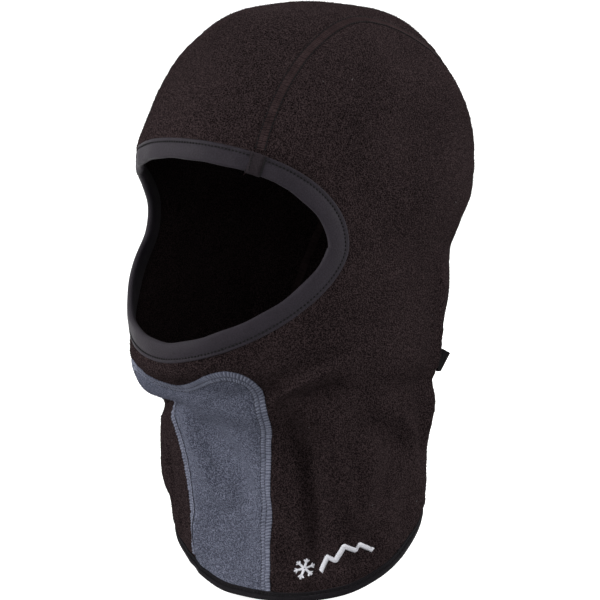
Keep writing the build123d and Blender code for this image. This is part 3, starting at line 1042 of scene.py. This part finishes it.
def throat_seam():
    """The seam round the throat panel: two columns of loops, each with a needle line inside it."""
    theta, run, at = throat_seam_line()
    side_a = sideways(theta, run)[0]
    quarter = len(theta) // 4
    inward = -1.0 if side_a[quarter] * theta[quarter] > 0 else 1.0
    columns = ((-3.1 * inward, 0.1 * inward), (0.8 * inward, 2.9 * inward))
    flatlock("throat_seam", (theta, run, at), THROAT_SEAM / 2 - 0.05, 1.75, GREY_BED, GREY_LOCK,
             0.03, 0.34, columns, 1.25)
    for offset, edge in ((0.45, "middle"), (3.05, "inner")):
        places = row_on_line(theta, run, offset * inward, 0.40, False)
        stitches(f"throat_{edge}_needle", places, int(at[-1] / 2.0), 1.6, 0.5, NEEDLE)


throat_seam()


# ---------------------------------------------------------------- embroidery
EMBLEM_ANGLE, EMBLEM_DEPTH, EMBLEM_TILT = radians(52.0), 305.0, radians(19.0)
EMBLEM_RUN = run_of(EMBLEM_DEPTH)
emblem_wide = smooth_hood(EMBLEM_ANGLE + 0.01, EMBLEM_RUN) - smooth_hood(EMBLEM_ANGLE - 0.01, EMBLEM_RUN)
PER_ANGLE = float(np.linalg.norm(emblem_wide)) / 0.02


def on_emblem(x, y, height):
    """A point of the emblem's own plane, x along and y up, laid on the cloth."""
    u = x * cos(EMBLEM_TILT) - y * sin(EMBLEM_TILT)
    v = x * sin(EMBLEM_TILT) + y * cos(EMBLEM_TILT)
    return skin(EMBLEM_ANGLE + u / PER_ANGLE, EMBLEM_RUN - v, height)


def satin(path, wide, pitch=0.5, lean=0.25):
    """Satin stitches side by side across a stroke: points and faces."""
    path = np.array(path, float)
    length = np.concatenate([[0], np.cumsum(np.linalg.norm(np.diff(path, axis=0), axis=1))])
    count = int(length[-1] / (pitch / 4))
    at = np.linspace(0, length[-1], count)
    x, y = relax(np.interp(at, length, path[:, 0]), 9), relax(np.interp(at, length, path[:, 1]), 9)
    tx, ty = np.gradient(x), np.gradient(y)
    size = np.hypot(tx, ty)
    tx, ty = tx / size, ty / size
    offsets = np.linspace(-1, 1, 9)
    rough = 1 + 0.07 * np.sin(at * 2 * pi / pitch / 2 + 1) + 0.05 * np.sin(at * 7.1)
    half = wide / 2 * rough[:, None]
    px = x[:, None] - ty[:, None] * offsets * half + lean * offsets * half * tx[:, None]
    py = y[:, None] + tx[:, None] * offsets * half + lean * offsets * half * ty[:, None]
    dome = np.sqrt(np.clip(1 - (offsets * 0.97) ** 2, 0, 1))
    ridge = 0.24 * np.abs(np.sin(pi * at / pitch))[:, None]
    height = 0.06 + (0.55 + ridge) * dome[None, :]
    px = np.concatenate([px, px[:, [6]], px[:, [2]]], 1)
    py = np.concatenate([py, py[:, [6]], py[:, [2]]], 1)
    height = np.concatenate([height, np.full((count, 2), 0.02)], 1)
    points = on_emblem(px, py, height)
    return points.reshape(-1, 3), tube_faces(count, 11, False)


def embroider(name, parts):
    """One embroidered piece from several runs of satin stitch."""
    points, faces, first = [], [], 0
    for p, f in parts:
        points.append(p)
        faces += [tuple(i + first for i in face) for face in f]
        first += len(p)
    piece = mesh(name, np.vstack(points), faces, WHITE, "hood")
    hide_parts(name)


def flake_stroke(path, angle, wide):
    """A stroke of the snowflake, drawn along +X and turned about its middle."""
    c, s = cos(radians(angle)), sin(radians(angle))
    return satin([(FLAKE_X + x * c - y * s, x * s + y * c) for x, y in path], wide, 0.42)


FLAKE_X = -16.8
flake = []
for angle in range(0, 360, 60):
    flake.append(flake_stroke([(0.3, 0), (5.1, 0)], angle, 1.15))
    flake += [flake_stroke([(3.0, 0.0), (4.4, 1.25 * bend)], angle, 0.75) for bend in (1, -1)]
embroider("snowflake_embroidery", flake)
RIDGE = [(-9.3, -4.4), (-3, 2), (0.5, -1), (7.5, 5.2), (13, 0), (16, 2.4), (22.4, -4.4)]
embroider("mountain_embroidery", [satin(RIDGE, 2.7)])


# ---------------------------------------------------------------- seam tab
joint = next(j for j in frame["record"]["behaviour"]["joints"] if j["name"] == "seam_tab_flap")
tab_low, tab_high = (np.array(v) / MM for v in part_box("seam_tab"))
hinge = np.array(joint["pos_m"]) / MM
axis = np.array(joint["axis"])
axis /= np.linalg.norm(axis)
if axis[2] < 0:
    axis = -axis
reach = (tab_low + tab_high) / 2 - hinge
reach -= axis * (reach @ axis)
reach /= np.linalg.norm(reach)
across_tab = np.cross(axis, reach)

# The folded tape seen end on: out along one layer, round the fold, back along the other and up the slit.
# It thins to a line at the hinge, so that it clears its root when it swings.
fold = [(0.06, 0.02), (1.2, 0.62), (1.5, 0.63), (3.5, 0.6), (6.0, 0.62), (8.5, 0.66), (9.8, 0.62)]
fold += [(10.45, 0.35), (10.62, 0.0), (10.45, -0.35)]
fold += [(9.8, -0.62), (8.5, -0.64), (6.0, -0.6), (3.5, -0.62), (1.5, -0.63), (1.2, -0.62), (0.06, -0.02)]
fold += [(0.5, -0.04), (3.5, -0.05), (7.5, -0.06), (9.0, -0.08), (9.3, 0.0)]
fold += [(9.0, 0.08), (7.5, 0.06), (3.5, 0.05), (0.5, 0.04)]
root = [(0.0, 0.5), (0.0, -0.5), (-1.6, -0.55), (-3.8, -0.6), (-3.8, 0.6), (-1.6, 0.55)]
TAPE_WIDE, TAPE_RINGS = 13.0, 54
middle_z = float(((tab_low + tab_high) / 2 - hinge) @ axis) + 2.2


def tab_points(profile):
    """The tape's profile carried up its height, slanting to a corner at the top."""
    points = []
    for z in np.linspace(-TAPE_WIDE / 2, TAPE_WIDE / 2, TAPE_RINGS):
        share = z / TAPE_WIDE + 0.5
        slant = 0.12 + 0.84 * share
        weave = 0.035 * sin(z * 2 * pi / 0.55)
        for u, v in profile:
            bow = 0.25 * sin(pi * np.clip(u, 0, 10) / 10) ** 2 * cos(z / 5)
            lift = weave * np.sign(v) if abs(v) > 0.3 and u > 1.3 else 0.0
            out, thin = (u * slant, slant) if u > 0 else (u, 0.96)
            points.append(hinge + reach * out + axis * (middle_z + z - 0.28 * max(u, 0) * share)
                          + across_tab * (v * thin + lift + bow))
    return points


# The tab and its root use the near-black tape colour, which holds painted shade as well as the tape's own
# dark colour.
tab = mesh("seam_tab", tab_points(fold), tube_faces(TAPE_RINGS, len(fold), False), TAB_DARK_WITH_PAINTED_SHADE, "tab", 60)
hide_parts("seam_tab")
mesh("seam_tab_root", tab_points(root), tube_faces(TAPE_RINGS, len(root), False), TAB_DARK_WITH_PAINTED_SHADE, "hood", 60)


# ---------------------------------------------------------------- loose thread
def loose_thread():
    """A thread end that hangs from the inner edge of the binding's join."""
    route = ((-10.2, 1.1, 1), (-11.6, 0.4, 1), (-12.6, -0.4, 0), (-13.0, 0.3, 0), (-12.4, 1.0, 0))
    points = []
    for margin, height, ring in route:
        here = tuple(v[LAP_AT[ring]:LAP_AT[ring] + 1] for v in line)
        points.append(on_face(np.array([[margin]]), np.array([[height]]), here)[0, 0])
    thread("loose_thread", points, 0.3, BLACK_LOCK)


loose_thread()


# ---------------------------------------------------------------- surroundings
def sweep():
    """A pale floor that curves up all round into a bright surround."""
    profile = [(0.001, 0), (0.5, 0), (0.9, 0.02), (1.3, 0.12), (1.7, 0.4), (2.0, 0.9), (2.1, 1.5), (2.1, 2.6)]
    points, faces = [], []
    turns = 72
    for k in range(turns):
        q = 2 * pi * k / turns
        points += [(r * cos(q), r * sin(q), z) for r, z in profile]
    n = len(profile)
    for k in range(turns):
        m = (k + 1) % turns
        faces += [(k * n + j, m * n + j, m * n + j + 1, k * n + j + 1) for j in range(n - 1)]
    data = bpy.data.meshes.new("surround")
    data.from_pydata(points, [], faces)
    data.shade_smooth()
    return bpy.data.objects.new("surround", data)


def surround():
    """The sweep, glowing a little and lit evenly, but giving the hood no light of its own."""
    white, _, shader = nodes_of("surround_white")
    shader.inputs["Base Color"].default_value = (0.55, 0.55, 0.55, 1)
    shader.inputs["Roughness"].default_value = 0.95
    shader.inputs["Specular IOR Level"].default_value = 0.0
    shader.inputs["Emission Color"].default_value = (1, 1, 1, 1)
    shader.inputs["Emission Strength"].default_value = 0.9
    floor = sweep()
    floor.data.materials.append(white)
    floor.location = (0, 0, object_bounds()[0].z - 0.004)
    bpy.context.scene.collection.objects.link(floor)
    floor.visible_diffuse = False
    floor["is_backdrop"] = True


def studio():
    """Soft light from all round, stronger from above."""
    world = bpy.data.worlds.new("studio")
    world.use_nodes = True
    sky = world.node_tree
    way = sky.nodes.new("ShaderNodeTexCoord").outputs["Generated"]
    split = sky.nodes.new("ShaderNodeSeparateXYZ")
    sky.links.new(way, split.inputs[0])
    shade = tinted(sky, ramp(sky, split.outputs["Z"], -0.8, 0.8, 0, 1), (0.62, 0.62, 0.63), (1, 1, 1))
    sky.links.new(shade, sky.nodes["Background"].inputs["Color"])
    sky.nodes["Background"].inputs["Strength"].default_value = 0.74
    bpy.context.scene.world = world


surround()
studio()
AIM, LAMP_REACH = Vector((0, 0, -0.17)), 1.3


def lamp(name, azimuth, elevation, size, watts):
    """A round lamp aimed at the hood from all round it, at one distance."""
    data = bpy.data.lights.new(name, "AREA")
    data.shape, data.size, data.energy = "DISK", size, watts
    lit = bpy.data.objects.new(name, data)
    q, e = radians(azimuth), radians(elevation)
    lit.location = AIM + LAMP_REACH * Vector((sin(q) * cos(e), -cos(q) * cos(e), sin(e)))
    lit.rotation_euler = (AIM - lit.location).to_track_quat("-Z", "Y").to_euler()
    bpy.context.scene.collection.objects.link(lit)
    lit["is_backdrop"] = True


lamp("key", -30, 22, 0.4, 11.5)
lamp("side", 118, 24, 0.5, 11)
lamp("low", -16, -3, 0.35, 11)
lamp("top", 30, 75, 0.5, 2.8)
lamp("back", 185, 35, 0.8, 5)

camera = bpy.data.cameras.new("camera")
camera.lens, camera.sensor_width = 120.66, 36.0
camera.shift_x, camera.shift_y = 0.01533, 0.0047
eye = bpy.data.objects.new("camera", camera)
CAMERA_AZIMUTH, CAMERA_ELEVATION, CAMERA_REACH = radians(43.08), radians(6.49), 1.14654
target, q, e = Vector((0, 0, -0.1698)), CAMERA_AZIMUTH, CAMERA_ELEVATION
eye.location = target + CAMERA_REACH * Vector((sin(q) * cos(e), -cos(q) * cos(e), sin(e)))
eye.rotation_euler = (target - eye.location).to_track_quat("-Z", "Y").to_euler()
bpy.context.scene.collection.objects.link(eye)
bpy.context.scene.camera = eye
bpy.context.scene.view_settings.view_transform = "Standard"
